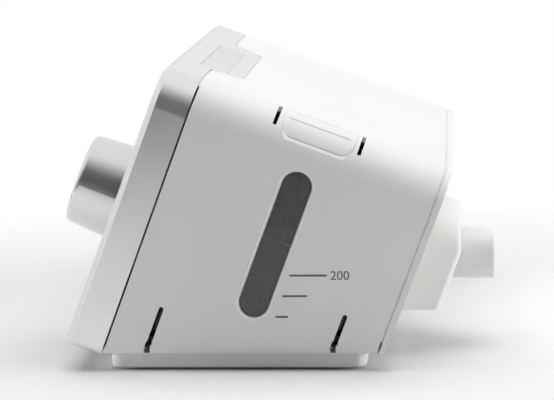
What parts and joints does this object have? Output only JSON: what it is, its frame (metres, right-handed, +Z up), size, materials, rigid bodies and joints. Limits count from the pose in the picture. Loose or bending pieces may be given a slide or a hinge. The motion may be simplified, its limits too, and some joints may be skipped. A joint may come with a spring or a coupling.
{
  "type": "bilevel pap machine",
  "caption": "Bedside breathing machine with a leaning silver front frame, push dial, top start button, latched side door with a level window, water tank, blower and rear hose port.",
  "frame": {"origin": "centre of the whole machine's footprint on the table, dial and hose port included, at the underside of the feet", "axes": "+Z up; the leaning front looks to -Y; +Y to the rear, along the hose port; +X to the side with the door"},
  "size_m": [0.246, 0.1818, 0.1246],
  "materials": {
    "white_shell": "satin moulded plastic with a very fine grain",
    "door_white": "satin moulded plastic with a very fine grain",
    "latch_white": "satin moulded plastic with a very fine grain",
    "filter_cover_white": "satin moulded plastic",
    "rubber": "matt black rubber",
    "silver_paint": "silver painted plastic, satin",
    "silver_button": "silver painted plastic, satin",
    "knob_silver": "silver painted plastic, satin",
    "black_gloss": "polished black",
    "clear_lens": "clear polished plate",
    "window_smoke": "tinted clear plate",
    "tank_smoke": "tinted clear plastic",
    "display_dark": "dark display glass",
    "board_green": "coated circuit board",
    "board_parts": "component cases",
    "inner_metal": "plain metal, brushed",
    "steel": "plain steel",
    "inner_grey": "plain grey moulding",
    "inner_dark": "plain dark moulding",
    "seal_grey": "soft silicone",
    "port_grey": "satin moulded plastic",
    "filter_foam": "open fibre pad",
    "impeller_plastic": "plain white moulding"
  },
  "bodies": {
    "body": {"base_tray": "white_shell", "rubber_feet": "rubber", "top_housing": "white_shell", "rear_cover": "white_shell", "front_bezel": "silver_paint", "front_panel": "black_gloss", "display_lens": "clear_lens", "display_module": "display_dark", "control_board": "board_green", "encoder_base": "inner_metal", "start_switch": "inner_dark", "humidifier_bay": "inner_grey", "heater_plate": "inner_metal", "tank_body": "tank_smoke", "tank_seal": "seal_grey", "tank_lid": "tank_smoke", "tank_base_plate": "steel", "air_duct": "inner_grey", "inlet_seal": "seal_grey", "outlet_seal": "seal_grey", "outlet_duct": "inner_grey", "outlet_housing": "white_shell", "outlet_port": "port_grey", "blower_base": "inner_dark", "blower_cover": "inner_dark", "blower_mounts": "rubber", "motor": "inner_metal", "main_board": "board_green", "board_parts": "board_parts", "power_inlet": "inner_dark", "inlet_filter": "filter_foam", "hinge_pins": "steel", "housing_screws": "steel"},
    "encoder_rotor": {"encoder_rotor": "inner_metal"},
    "knob": {"knob": "knob_silver", "knob_shaft": "steel"},
    "start_button": {"start_button": "silver_button"},
    "side_door": {"side_door": "door_white", "window_pane": "window_smoke", "latch_pin": "steel"},
    "door_latch": {"door_latch": "latch_white"},
    "impeller": {"impeller": "impeller_plastic", "rotor_shaft": "steel"},
    "filter_cover": {"filter_cover": "filter_cover_white"}
  },
  "joints": [
    {"name": "knob_turn", "type": "hinge", "parent": "body", "child": "encoder_rotor", "pos_m": [0.075, -0.06234, 0.06607], "axis": [0, 0.9348, -0.3551], "continuous": true},
    {"name": "knob_push", "type": "slide", "parent": "encoder_rotor", "child": "knob", "axis": [0, 0.9348, -0.3551], "range_m": [0, 0.0008], "stiffness_N_per_m": 1500},
    {"name": "start_press", "type": "slide", "parent": "body", "child": "start_button", "axis": [0, -0.3551, -0.9348], "range_m": [0, 0.0008], "stiffness_N_per_m": 1500},
    {"name": "door_hinge", "type": "hinge", "parent": "body", "child": "side_door", "pos_m": [0.121, 0, 0.0096], "axis": [0, 1, 0], "range_deg": [0, 90]},
    {"name": "latch_press", "type": "hinge", "parent": "side_door", "child": "door_latch", "pos_m": [0.1169, 0.01728, 0.09194], "axis": [0, -0.9348, 0.3551], "range_deg": [0, 2.5], "stiffness_Nm_per_rad": 1},
    {"name": "impeller_spin", "type": "hinge", "parent": "body", "child": "impeller", "pos_m": [-0.06, -0.00456, 0.05], "axis": [0, 0, 1], "continuous": true},
    {"name": "filter_hinge", "type": "hinge", "parent": "body", "child": "filter_cover", "pos_m": [-0.065, 0.05249, 0.03016], "axis": [-1, 0, 0], "range_deg": [0, 100]}
  ]
}
